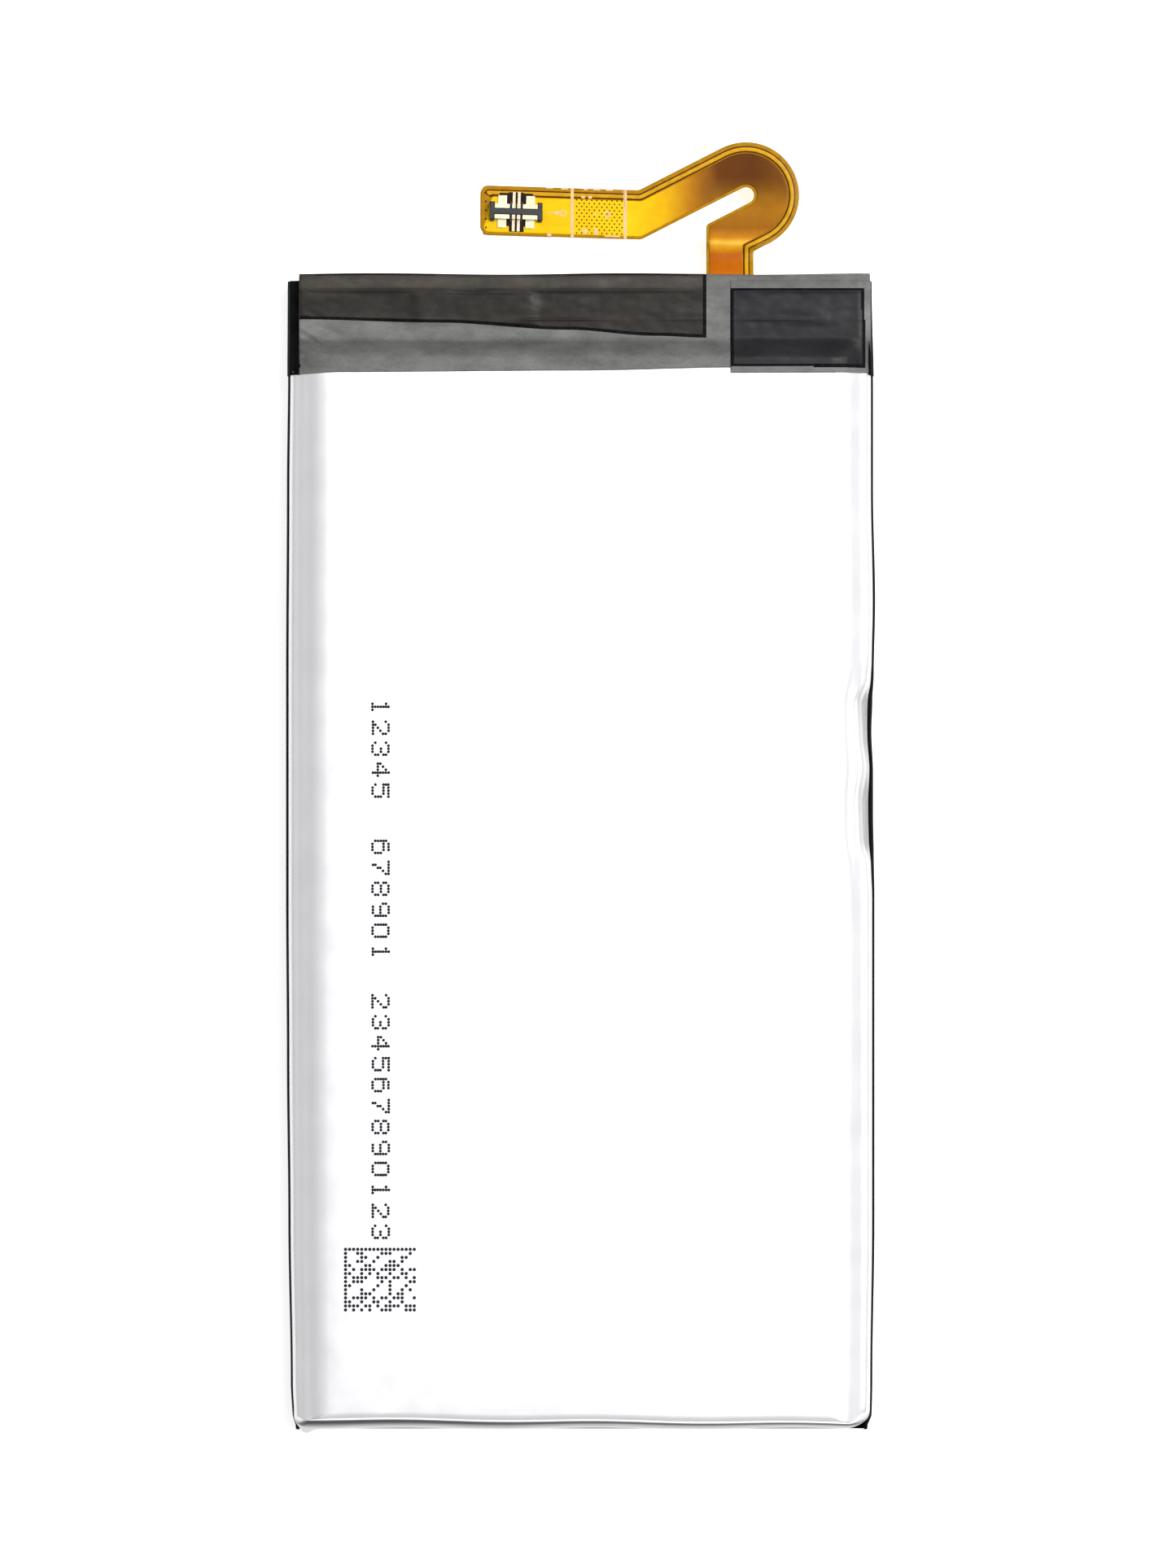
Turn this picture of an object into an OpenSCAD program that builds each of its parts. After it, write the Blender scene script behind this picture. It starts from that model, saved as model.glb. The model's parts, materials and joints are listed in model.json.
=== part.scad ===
// Flat lithium-polymer battery cell: a sealed foil pouch round a wound electrode roll,
// a protection board in the bay at its top end, and a flexible printed tail that ends
// in a board-to-board connector. Millimetres. The cell lies on its back: +Z is up
// through the drawn face, +Y runs towards the tail, and the origin is the centre of
// the cell's back face.

/* [Cell] */
// Width of the cell over its folded side seals
cell_w = 42; // [40:0.5:48]
// Length from the folded bottom end to the edge of the terrace
cell_l = 82; // [74:0.5:90]
// Height of the drawn face above the back
cell_t = 5.4; // [5.2:0.1:5.6]
// Length of the sealed terrace that carries the protection board
terrace_l = 4.6; // [4.4:0.1:5]
// Radius on the edges of the drawn face
draw_r = 1.5; // [0.8:0.1:1.8]
// Height of the folded side seals
flap_h = 4.3; // [3:0.1:4.5]

/* [Foils] */
// Thickness of the pouch laminate
laminate_t = 0.15; // [0.11:0.01:0.15]
// Thickness of the black back label
label_t = 0.08; // [0.05:0.01:0.1]
// Thickness of the grey insulating films
film_t = 0.06; // [0.04:0.01:0.08]

/* [Electrode roll] */
// Number of turns in the roll
roll_turns = 5; // [3:1:5]
// Thickness of the coated negative strip
anode_t = 0.14; // [0.1:0.01:0.14]
// Thickness of the coated positive strip
cathode_t = 0.12; // [0.1:0.01:0.12]
// Thickness of each separator
separator_t = 0.04; // [0.02:0.01:0.04]

/* [Protection board] */
// Length of the board
board_l = 38.4; // [36:0.1:39]
// Width of the board
board_w = 3.7; // [3.2:0.1:3.8]
// Thickness of the board
board_t = 0.5; // [0.4:0.1:0.5]

/* [Tail] */
// Width of the tail where it leaves the cell
neck_w = 3.37; // [3:0.01:3.6]
// Outer radius of the tail's U-turn
turn_r = 3.81; // [3.6:0.01:4]
// Radius at the end of the slot inside the U-turn
slot_r = 0.58; // [0.4:0.01:0.7]
// Slope of the tail's slanted run, in degrees
run_angle = 27; // [24:1:30]
// Width of the arm that carries the connector
arm_w = 3.54; // [3.4:0.01:3.7]
// Slope of the connector arm, in degrees
arm_angle = 1.8; // [0:0.1:2]
// Height of the middle of the tail above the back
tail_z = 3; // [2.6:0.1:3.2]

/* [Connector] */
// Length of the connector
connector_l = 3.7; // [3.6:0.05:3.8]
// Height of the connector above the tail
connector_h = 0.55; // [0.4:0.05:0.7]
// Thickness of the stiffener under the connector
stiffener_t = 0.3; // [0.2:0.05:0.4]

/* [Hidden] */
$fn = 24;
touch = 0.01; // air left between pieces that lie on each other

// Levels of the stacked foils, from the back upwards
cover_z = label_t + touch;
flange_z = cover_z + laminate_t + touch;
seal_top_z = flange_z + laminate_t;
film_step = film_t + touch;

// Plan of the cell
top_y = cell_l / 2;
bottom_y = -cell_l / 2;
cup_top_y = top_y - terrace_l;
wall_gap = 0.05;
cup_half_w = cell_w / 2 - label_t - 2 * laminate_t - 2 * touch - wall_gap;
cup_l = cup_top_y - bottom_y;

// Electrode roll
roll_pitch = anode_t + cathode_t + 2 * separator_t + 4 * touch;
core_r = 0.12;
roll_z = (cover_z + laminate_t + cell_t - laminate_t) / 2;
roll_r = core_r + (roll_turns + 1) * roll_pitch;
roll_half_straight = cup_half_w - laminate_t - 0.25 - roll_r;
arc_steps = 8;
separator_l = cup_l - 3;
roll_top_y = cup_top_y - 2.1;

// Tabs
tab_w = 4;
tab_t = 0.1;
tab_x = [-14.5, 2.5];
sealant_w = 6;
sealant_t = 0.08;
tab_seal_z = flange_z + sealant_t + touch + tab_t / 2;
tunnel_top_z = flange_z + 2 * sealant_t + tab_t + 3 * touch;

// Protection board, upwards from the terrace
board_y = top_y - 0.25 - board_w;
board_z = 3.05;
board_top_z = board_z + board_t;
plate_t = 0.12;
insulator_t = 0.1;
insulator_z = tunnel_top_z + laminate_t + touch;
parts_z = board_top_z + touch;
part_y = board_y + board_w / 2;

// Grey films: they leave the drawn face, step down onto the board and wrap the end
film_low_z = 4.5;
film_end_y = top_y + 0.56;
film_x = [-20.1, 20.45];
film_edge_y = 34.9;
step_y = [cup_top_y - 0.9, cup_top_y + 0.7];
back_flap_y = cup_top_y + 0.9;
film_path = [
    [film_edge_y, cell_t + touch], [step_y[0], cell_t + touch], [step_y[1], film_low_z],
    [film_end_y, film_low_z], [film_end_y, film_t], [back_flap_y, film_t]
];
corner_film_x = [10.66, film_x[1]];
corner_film_path = [
    [film_edge_y - 0.4, cell_t + touch], [step_y[0], cell_t + touch], [step_y[1], film_low_z],
    [top_y + 0.1, film_low_z]
];
strip_x = [film_x[0], 8.98];
wing_h = 3.4; // height of the label's turned-up sides

// Tail, whose neck leaves the board at its right-hand part
base_t = 0.05;
copper_t = 0.035;
flex_t = 2 * base_t + copper_t + 2 * touch;
layer_base = [-flex_t / 2, -flex_t / 2 + base_t];
layer_copper = [-copper_t / 2, copper_t / 2];
layer_cover = [flex_t / 2 - base_t, flex_t / 2];
neck_x = [8.98, 8.98 + neck_w];
fold_y = 43.2; // the crease, where the tail folds
bend_x = 1.28; // the hatched zone, where the arm bends
bend_gap = 0.1; // half of the gap that stands for each bend
turn_c = [neck_x[0] + 2.84, 47.3];
arm_end_x = -7.18;
arm_y = 45.9; // middle of the arm where the slanted run meets it
arm_corner_r = 0.5;
root_path = [
    [board_y + 0.5, parts_z + flex_t / 2], [top_y + 0.1, parts_z + flex_t / 2],
    [fold_y - 1, tail_z], [fold_y - bend_gap, tail_z]
];

// Connector, at the end of the arm
connector_c = [-4.61, 46.11];
connector_z = tail_z + flex_t / 2 + touch;
power_x = 1;
signal_x = 0.18;
end_block_t = 0.27;

// ---------------------------------------------------------------- helpers

function reverse(list) = [for (i = [len(list) - 1:-1:0]) list[i]];

function unit(v) = v / norm(v);

function left_normal(a, b) = let (d = unit(b - a)) [-d.y, d.x];

// A path moved sideways by d, with mitred corners
function moved(path, d) = [
    for (i = [0:len(path) - 1])
        let (
            before = left_normal(path[max(i - 1, 0)], path[max(i, 1)]),
            after = left_normal(path[min(i, len(path) - 2)], path[min(i + 1, len(path) - 1)])
        )
        path[i] + (before + after) * d / (1 + before * after)
];

// Outline of a strip that lies between two distances beside a path
function ribbon(path, low, high) = concat(moved(path, low), reverse(moved(path, high)));

function arc(c, r, from, to, steps) = [
    for (s = [0:steps])
        let (t = from + (to - from) * s / steps)
        c + r * [cos(t), sin(t)]
];

// Extrudes a (Y, Z) outline from x[0] to x[1]
module along_x(x) {
    translate([x[0], 0, 0]) rotate([90, 0, 90]) linear_extrude(x[1] - x[0]) children();
}

// Extrudes an (X, Z) outline from y[0] to y[1]
module along_y(y) {
    translate([0, y[1], 0]) rotate([90, 0, 0]) linear_extrude(y[1] - y[0]) children();
}

module block(x, y, z) {
    translate([x[0], y[0], z[0]]) cube([x[1] - x[0], y[1] - y[0], z[1] - z[0]]);
}

// A block centred on (x, y) that stands on z
module chip(x, y, z, size) {
    block([x - size.x / 2, x + size.x / 2], [y - size.y / 2, y + size.y / 2], [z, z + size.z]);
}

// ---------------------------------------------------------------- pouch

// The drawn cup: upright walls with rounded corners, and a round edge on its face
module cup_form(inset, bottom_z) {
    r = draw_r - inset;
    hull() {
        for (x = [-1, 1] * (cup_half_w - draw_r), y = [bottom_y + draw_r, cup_top_y - draw_r]) {
            translate([x, y, cell_t - draw_r]) sphere(r);
            translate([x, y, bottom_z]) cylinder(h = cell_t - draw_r - bottom_z, r = r);
        }
    }
}

module pouch_cup() {
    flap_x = cup_half_w + wall_gap;
    color("gainsboro") difference() {
        union() {
            cup_form(0, flange_z);
            block([-flap_x, flap_x], [bottom_y + draw_r, top_y], [flange_z, seal_top_z]);
            for (side = [-1, 1])
                block(
                    side > 0 ? [flap_x, flap_x + laminate_t] : [-flap_x - laminate_t, -flap_x],
                    [bottom_y + draw_r, top_y], [flange_z, flap_h]
                );
            for (x = tab_x)
                block(
                    [x - sealant_w / 2 - 0.2, x + sealant_w / 2 + 0.2],
                    [cup_top_y - 0.1, top_y], [flange_z, tunnel_top_z + laminate_t]
                );
        }
        cup_form(laminate_t, flange_z - 1);
        for (x = tab_x)
            block(
                [x - sealant_w / 2 - 0.05, x + sealant_w / 2 + 0.05],
                [cup_top_y - 1, top_y + 1], [flange_z - 1, tunnel_top_z]
            );
    }
}

module pouch_cover() {
    inner_x = cup_half_w + wall_gap + laminate_t + touch;
    outer_x = inner_x + laminate_t;
    color("silver") {
        block([-outer_x, outer_x], [bottom_y, top_y], [cover_z, cover_z + laminate_t]);
        for (side = [-1, 1])
            block(
                side > 0 ? [inner_x, outer_x] : [-outer_x, -inner_x],
                [bottom_y + draw_r, top_y], [cover_z, flap_h + 0.1]
            );
    }
}

// ---------------------------------------------------------------- electrode roll

// The line that a layer follows, at an offset from the core: half-turns round the two
// ends of the flat core, each a little wider than the last
function roll_line(offset) = [
    for (k = [0:2 * roll_turns - 1], s = [0:arc_steps])
        let (
            turn = (k + s / arc_steps) / 2,
            r = core_r + offset + roll_pitch * turn,
            side = k % 2 == 0 ? 1 : -1
        )
        [side * roll_half_straight + r * cos(360 * turn - 90), roll_z + r * sin(360 * turn - 90)]
];

// One strip of the roll: start_x and end_x are where it begins and ends on the flat
module roll_strip(offset, thickness, length, start_x, end_x) {
    inner = roll_line(offset);
    outer = roll_line(offset + thickness);
    last = len(inner) - 1;
    middle_y = roll_top_y - separator_l / 2;
    along_y([middle_y - length / 2, middle_y + length / 2]) polygon(concat(
        [[start_x, inner[0].y]], inner, [[end_x, inner[last].y]],
        [[end_x, outer[last].y]], reverse(outer), [[start_x, outer[0].y]]
    ));
}

module inner_separator() {
    color("ivory") roll_strip(0, separator_t, separator_l, -16, 14);
}

module anode_strip() {
    color("dimgray")
        roll_strip(separator_t + touch, anode_t, separator_l - 1, -14, 12);
}

module outer_separator() {
    color("ivory")
        roll_strip(separator_t + anode_t + 2 * touch, separator_t, separator_l, -16, 14);
}

module cathode_strip() {
    color("darkslategray")
        roll_strip(2 * separator_t + anode_t + 3 * touch, cathode_t, separator_l - 2.4, -12, 10);
}

module roll_closing_tape() {
    z = roll_z - roll_r - touch;
    color("darkkhaki") block([-16, 16], [-32, 26], [z - 0.04, z]);
}

// ---------------------------------------------------------------- tabs

// A tab leaves the roll's core, dips to the terrace, passes the seal, and turns back
// under the protection board
module tab(x, tint) {
    path = [
        [roll_top_y - 18, roll_z], [roll_top_y + 0.5, roll_z], [cup_top_y - 0.5, tab_seal_z],
        [top_y + 0.35, tab_seal_z], [top_y + 0.35, board_z - plate_t - 2 * touch - tab_t],
        [board_y + 0.7, board_z - plate_t - 2 * touch - tab_t]
    ];
    color(tint) along_x([x - tab_w / 2, x + tab_w / 2])
        polygon(ribbon(path, -tab_t / 2, tab_t / 2));
}

module positive_tab() tab(tab_x[0], "lightgray");

module negative_tab() tab(tab_x[1], "darkgray");

// Two strips of sealing film, one on each side of a tab
module tab_sealant(x) {
    color("whitesmoke")
        for (z = [flange_z, tab_seal_z + tab_t / 2 + touch])
            chip(x, top_y - 1.4, z, [sealant_w, 2.4, sealant_t]);
}

module positive_tab_sealant() tab_sealant(tab_x[0]);

module negative_tab_sealant() tab_sealant(tab_x[1]);

// ---------------------------------------------------------------- protection board

module terrace_insulator() {
    color("khaki")
        block([-19.4, 19.4], [cup_top_y + 0.2, top_y - 0.1], [insulator_z, insulator_z + insulator_t]);
}

module board_foam_pad() {
    low = insulator_z + insulator_t + touch;
    color("darkslateblue")
        block([-18.6, 18.6], [board_y + 0.2, top_y - 0.4], [low, board_z - plate_t - tab_t - 0.12]);
}

module protection_board() {
    color("darkgreen")
        block([-board_l / 2, board_l / 2], [board_y, board_y + board_w], [board_z, board_top_z]);
}

module weld_plate(x) {
    color("silver")
        chip(x, board_y + board_w / 2, board_z - touch - plate_t, [5.2, board_w - 0.5, plate_t]);
}

module positive_weld_plate() weld_plate(tab_x[0]);

module negative_weld_plate() weld_plate(tab_x[1]);

module protection_mosfets() {
    color([0.12, 0.12, 0.13])
        for (x = [-9.7, -5.4]) chip(x, part_y + 0.2, parts_z, [3.9, 2, 0.72]);
}

module protection_ic() {
    color([0.16, 0.16, 0.18]) chip(-1, part_y, parts_z, [2, 2, 0.6]);
}

module chip_fuse() {
    color("tan") chip(15.6, part_y, parts_z, [3.2, 1.6, 0.6]);
}

module thermistor() {
    color("saddlebrown") chip(5.6, part_y, parts_z, [1, 0.6, 0.5]);
}

module chip_resistors() {
    color([0.1, 0.1, 0.12])
        for (x = [-16.9, -15.3, -13.7, 1.4], y = [-0.9, 0.9])
            chip(x, part_y + y, parts_z, [1, 0.5, 0.35]);
}

module chip_capacitors() {
    color("peru")
        for (x = [3.4, 7.4, 18.4], y = [-0.9, 0.9])
            chip(x, part_y + y, parts_z, [0.6, 1, 0.5]);
}

// Solder fillets along the neck's two sides where it lies on the board
module tail_solder_joints() {
    color("lightsteelblue")
        for (x = [neck_x[0] - 0.3, neck_x[1] + 0.3], y = [0.9, 1.9, 2.9])
            translate([x, board_y + y, parts_z])
                cylinder(h = 0.16, r1 = 0.28, r2 = 0.12);
}

// ---------------------------------------------------------------- label and films

// The black label covers the back and turns up over the folded side seals
module back_label() {
    half = cell_w / 2;
    path = [[-half, wing_h], [-half, 0], [half, 0], [half, wing_h]];
    color([0.08, 0.08, 0.09]) {
        along_y([bottom_y + 0.4, back_flap_y - 0.1]) polygon(ribbon(path, 0, label_t));
        for (x = [-half, half - label_t])
            block([x, x + label_t], [bottom_y + 0.4, top_y], [0, wing_h]);
    }
}

module top_film() {
    color([0.45, 0.45, 0.45]) difference() {
        along_x(film_x) polygon(ribbon(film_path, 0, film_t));
        block(
            [neck_x[0] - 0.15, neck_x[1] + 0.15],
            [film_end_y - 1, film_end_y + 1], [tail_z - 0.4, board_top_z + 0.4]
        );
    }
}

module corner_film() {
    color([0.25, 0.25, 0.26])
        along_x(corner_film_x)
            polygon(ribbon(corner_film_path, film_step, film_step + film_t));
}

// The darker strip was laid on askew: its lower edge falls to the right
module dark_strip_film() {
    color([0.2, 0.19, 0.18])
        translate([0, 0, film_low_z + film_step]) linear_extrude(film_t) polygon([
            [strip_x[0], 38.35], [strip_x[1], 37.15],
            [strip_x[1], film_end_y - 0.1], [strip_x[0], film_end_y - 0.1]
        ]);
}

// Height of the cup's rounded long edge at a place across the cell
function edge_height(x) = cell_t - draw_r + sqrt(draw_r ^ 2 - (x - cup_half_w + draw_r) ^ 2);

// Film that follows the cup's round edge and turns over the folded side seal
module edge_film(side) {
    outer_x = cell_w / 2 - film_t;
    start_x = abs(film_x[side < 0 ? 0 : 1]) + 0.05;
    path = [
        [start_x, edge_height(start_x) + 0.08], [cup_half_w - 0.08, edge_height(20.3)],
        [outer_x, flap_h + 0.1 + 2 * touch], [outer_x, wing_h + touch]
    ];
    color([0.16, 0.16, 0.16]) mirror([side < 0 ? 1 : 0, 0, 0])
        along_y([film_edge_y - 0.4, top_y + 0.1]) polygon(ribbon(path, 0, film_t));
}

module left_edge_film() edge_film(-1);

module right_edge_film() edge_film(1);

// ---------------------------------------------------------------- tail

function end_radius(inset) = max(arm_corner_r - inset, 0.1);

// The tail's two long sides, moved inwards by inset. Both run from the neck to the
// round corner at the arm's end.
function inner_side(inset) =
    let (
        x = neck_x[0] + inset,
        r = slot_r + inset,
        touch_p = turn_c + r * [sin(run_angle), -cos(run_angle)],
        leave_p = turn_c + r * [-sin(run_angle), cos(run_angle)],
        low_y = arm_y - arm_w / 2 + inset,
        corner_x = leave_p.x - (leave_p.y - low_y) / tan(run_angle),
        end_r = end_radius(inset),
        end_x = arm_end_x + inset + end_r,
        end_y = low_y + (corner_x - end_x) * tan(arm_angle) + end_r
    )
    concat(
        [[x, fold_y - 2], [x, touch_p.y - (touch_p.x - x) * tan(run_angle)]],
        arc(turn_c, r, run_angle - 90, run_angle + 90, 12),
        [[corner_x, low_y]], arc([end_x, end_y], end_r, -90, -180, 4)
    );

function outer_side(inset) =
    let (
        x = neck_x[1] - inset,
        r = turn_r - inset,
        touch_p = turn_c + r * [sin(run_angle), -cos(run_angle)],
        leave_p = turn_c + r * [-sin(run_angle), cos(run_angle)],
        high_y = arm_y + arm_w / 2 - inset,
        corner_x = leave_p.x - (leave_p.y - high_y) / tan(run_angle),
        end_r = end_radius(inset),
        end_x = arm_end_x + inset + end_r,
        end_y = high_y + (corner_x - end_x) * tan(arm_angle) - end_r
    )
    concat(
        [[x, fold_y - 2], [x, touch_p.y - (touch_p.x - x) * tan(run_angle)]],
        arc(turn_c, r, run_angle - 90, run_angle + 90, 24),
        [[corner_x, high_y]], arc([end_x, end_y], end_r, 90, 180, 4)
    );

// Area between two insets: the whole film, the wide copper or the narrow trace
module film_plan() polygon(concat(inner_side(0), reverse(outer_side(0))));

module copper_plan() polygon(concat(inner_side(0.25), reverse(outer_side(0.8))));

module trace_plan() polygon(concat(outer_side(0.62), reverse(outer_side(0.35))));

module layer(z) {
    translate([0, 0, tail_z + z[0]]) linear_extrude(z[1] - z[0]) children();
}

// Cuts the rigid part of the tail between its two bends
module tail_part() {
    intersection() {
        children();
        block([bend_x + bend_gap, 20], [fold_y + bend_gap, 60], [0, 9]);
    }
}

// Cuts the rigid part of the arm beyond the hatched bend
module arm_part() {
    intersection() {
        children();
        block([arm_end_x - 1, bend_x - bend_gap], [fold_y, 60], [0, 9]);
    }
}

module neck_layer(z, inset_left, inset_right) {
    along_x([neck_x[0] + inset_left, neck_x[1] - inset_right])
        polygon(ribbon(root_path, z[0], z[1]));
}

module neck_base_film() color("darkgoldenrod") neck_layer(layer_base, 0, 0);

module neck_copper() color("orange") neck_layer(layer_copper, 0.25, 0.35);

module neck_coverlay() color("goldenrod") neck_layer(layer_cover, 0, 0);

module tail_base_film() color("darkgoldenrod") tail_part() layer(layer_base) film_plan();

module tail_copper() color("orange") tail_part() layer(layer_copper) copper_plan();

module tail_trace() color("orange") tail_part() layer(layer_copper) trace_plan();

module tail_coverlay() color("goldenrod") tail_part() layer(layer_cover) film_plan();

module arm_base_film() color("darkgoldenrod") arm_part() layer(layer_base) film_plan();

module arm_copper() color("gold") arm_part() layer(layer_copper) copper_plan();

module arm_trace() color("orange") arm_part() layer(layer_copper) trace_plan();

module arm_coverlay() color("gold") arm_part() layer(layer_cover) film_plan();

// ---------------------------------------------------------------- connector

module at_connector() {
    translate([connector_c.x, connector_c.y, connector_z]) rotate([0, 0, -arm_angle]) children();
}

module connector_stiffener() {
    color("silver") translate([connector_c.x + 0.1, connector_c.y, 0]) rotate([0, 0, -arm_angle])
        chip(0, 0, tail_z - flex_t / 2 - touch - stiffener_t, [4.9, arm_w - 0.1, stiffener_t]);
}

// A thin floor, a rib along the middle and a block across each end
module connector_housing() {
    color([0.2, 0.2, 0.22]) at_connector() {
        difference() {
            chip(0, 0, 0, [connector_l, 1.4, 0.15]);
            for (side = [-1, 1]) {
                for (x = [-power_x, power_x]) chip(x, side * 0.6, -1, [1.12, 0.8, 2]);
                for (x = [-signal_x, signal_x]) chip(x, side * 0.6, -1, [0.3, 0.8, 2]);
            }
        }
        chip(0, 0, 0.1, [connector_l, 0.36, connector_h - 0.1]);
        for (x = [-1, 1] * (connector_l - end_block_t) / 2)
            chip(x, 0, 0.1, [end_block_t, 1.1, connector_h - 0.1]);
    }
}

// A contact: a solder foot on the copper, and a standing part beside the rib
module contact(x, side, width, foot) {
    chip(x, side * (0.45 + foot.y / 2), 0, [foot.x, foot.y, 0.08]);
    chip(x, side * 0.38, 0, [width, 0.3, connector_h - 0.12]);
}

module power_contacts() {
    color("wheat") at_connector()
        for (x = [-power_x, power_x], side = [-1, 1]) contact(x, side, 1.06, [0.62, 0.7]);
}

module signal_contacts() {
    color("wheat") at_connector()
        for (x = [-signal_x, signal_x], side = [-1, 1]) contact(x, side, 0.24, [0.2, 0.95]);
}

// ---------------------------------------------------------------- nodes

pouch_cup();
pouch_cover();
anode_strip();
cathode_strip();
inner_separator();
outer_separator();
roll_closing_tape();
positive_tab();
negative_tab();
positive_tab_sealant();
negative_tab_sealant();
terrace_insulator();
board_foam_pad();
protection_board();
positive_weld_plate();
negative_weld_plate();
protection_mosfets();
protection_ic();
chip_fuse();
thermistor();
chip_resistors();
chip_capacitors();
tail_solder_joints();
back_label();
top_film();
corner_film();
dark_strip_film();
left_edge_film();
right_edge_film();
neck_base_film();
neck_copper();
neck_coverlay();
tail_base_film();
tail_copper();
tail_trace();
tail_coverlay();
arm_base_film();
arm_copper();
arm_trace();
arm_coverlay();
connector_stiffener();
connector_housing();
power_contacts();
signal_contacts();
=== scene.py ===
import json
import math

import bmesh
import bpy
import numpy as np
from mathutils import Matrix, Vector, noise


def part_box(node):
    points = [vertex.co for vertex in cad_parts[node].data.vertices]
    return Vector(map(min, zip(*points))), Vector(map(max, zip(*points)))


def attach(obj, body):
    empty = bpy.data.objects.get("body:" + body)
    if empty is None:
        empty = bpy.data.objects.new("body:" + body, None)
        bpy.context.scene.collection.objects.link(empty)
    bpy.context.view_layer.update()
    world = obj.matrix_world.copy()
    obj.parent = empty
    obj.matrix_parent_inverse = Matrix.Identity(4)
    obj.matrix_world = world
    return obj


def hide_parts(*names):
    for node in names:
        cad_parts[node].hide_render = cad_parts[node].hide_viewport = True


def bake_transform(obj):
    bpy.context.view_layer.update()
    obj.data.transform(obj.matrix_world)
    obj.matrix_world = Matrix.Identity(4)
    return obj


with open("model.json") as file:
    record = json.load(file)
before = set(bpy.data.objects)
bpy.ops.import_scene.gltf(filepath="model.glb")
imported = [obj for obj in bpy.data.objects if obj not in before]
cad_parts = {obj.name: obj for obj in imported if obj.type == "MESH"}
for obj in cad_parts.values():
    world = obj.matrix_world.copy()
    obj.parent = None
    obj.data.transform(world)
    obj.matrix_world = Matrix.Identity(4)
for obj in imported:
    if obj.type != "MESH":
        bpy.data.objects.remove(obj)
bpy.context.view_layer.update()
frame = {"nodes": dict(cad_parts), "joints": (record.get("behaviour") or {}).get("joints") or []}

MM = 0.001

# ---------------- sizes taken from the frame

_, label_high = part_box("back_label")
_, cup_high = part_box("pouch_cup")
cover_low, cover_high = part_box("pouch_cover")
film_low, film_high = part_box("top_film")
board_low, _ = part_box("protection_board")
neck_low, neck_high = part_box("neck_coverlay")
arm_low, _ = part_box("arm_base_film")
housing_low, housing_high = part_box("connector_housing")
joints = {joint["name"]: joint for joint in frame["joints"]}

HALF_W = label_high.x / MM
BOTTOM_Y = cover_low.y / MM
TOP_Y = cover_high.y / MM
FACE_Z = cup_high.z / MM
CUP_TOP_Y = board_low.y / MM - 0.65
BAY_Z = 4.5
FILM_END_Y = film_high.y / MM
FOLD_Y = joints["tail_fold"]["pos_m"][1] / MM
BEND_X = joints["arm_bend"]["pos_m"][0] / MM
FLEX_Z = joints["tail_fold"]["pos_m"][2] / MM
NECK_X = (neck_low.x / MM, neck_high.x / MM)
ARM_END_X = arm_low.x / MM
HOUSING = ((housing_low + housing_high) / 2 / MM).to_tuple()


# ---------------- helpers


def smooth_line(knots):
    """A function through (position, value) knots, level at each knot."""
    places = np.array([k[0] for k in knots], float)
    values = np.array([k[1] for k in knots], float)

    def at(p):
        p = np.clip(p, places[0], places[-1])
        i = np.clip(np.searchsorted(places, p) - 1, 0, len(places) - 2)
        t = (p - places[i]) / (places[i + 1] - places[i])
        t = t * t * (3 - 2 * t)
        return values[i] + (values[i + 1] - values[i]) * t

    return at


def ease(t):
    t = np.clip(t, 0, 1)
    return t * t * (3 - 2 * t)


def bump(p, centre, width):
    return np.exp(-(((p - centre) / width) ** 2))


def wobble(x, y, length_x, length_y, seed):
    """Smooth noise from -1 to 1, with its own wavelength along each axis."""
    x, y = np.broadcast_arrays(np.asarray(x, float), np.asarray(y, float))
    flat = [
        noise.noise(Vector((a / length_x, b / length_y, seed * 7.3)))
        for a, b in zip(x.ravel(), y.ravel())
    ]
    return np.array(flat).reshape(x.shape)


def new_mesh(name, points, faces, material, smooth=True):
    """An object from points in millimetres."""
    mesh = bpy.data.meshes.new(name)
    mesh.from_pydata([tuple(p) for p in np.asarray(points, float) * MM], [], faces)
    mesh.validate()
    mesh.polygons.foreach_set("use_smooth", [smooth] * len(mesh.polygons))
    mesh.materials.append(material)
    obj = bpy.data.objects.new(name, mesh)
    bpy.context.scene.collection.objects.link(obj)
    return obj


def grid_faces(rows, columns, wrap=False):
    """Quads over a grid whose rows follow each other."""
    faces = []
    for r in range(rows - 1):
        for c in range(columns if wrap else columns - 1):
            a = r * columns + c
            b = r * columns + (c + 1) % columns
            faces.append((a, b, b + columns, a + columns))
    return faces


def slab(name, grid, thickness, material, keep=None):
    """A closed sheet: the grid is its upper face and thickness goes along -normal."""
    rows, columns = grid.shape[:2]
    along = np.gradient(grid, axis=0)
    across = np.gradient(grid, axis=1)
    normal = np.cross(along, across)
    normal /= np.maximum(np.linalg.norm(normal, axis=2, keepdims=True), 1e-12)
    if normal[rows // 4, columns // 2, 2] < 0:
        normal = -normal
    under = grid - normal * thickness
    count = rows * columns
    quads = grid_faces(rows, columns)
    if keep is not None:
        quads = [q for q in quads if keep(grid.reshape(-1, 3)[list(q)].mean(0))]
    edges = {}
    for q in quads:
        for a, b in zip(q, q[1:] + q[:1]):
            edges[(a, b)] = edges.get((a, b), 0) + 1
    rim = [(a, b) for a, b in edges if (b, a) not in edges]
    faces = list(quads)
    faces += [tuple(i + count for i in reversed(q)) for q in quads]
    faces += [(b, a, a + count, b + count) for a, b in rim]
    points = np.concatenate([grid.reshape(-1, 3), under.reshape(-1, 3)])
    obj = new_mesh(name, points, faces, material)
    tidy(obj)
    return obj


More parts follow.
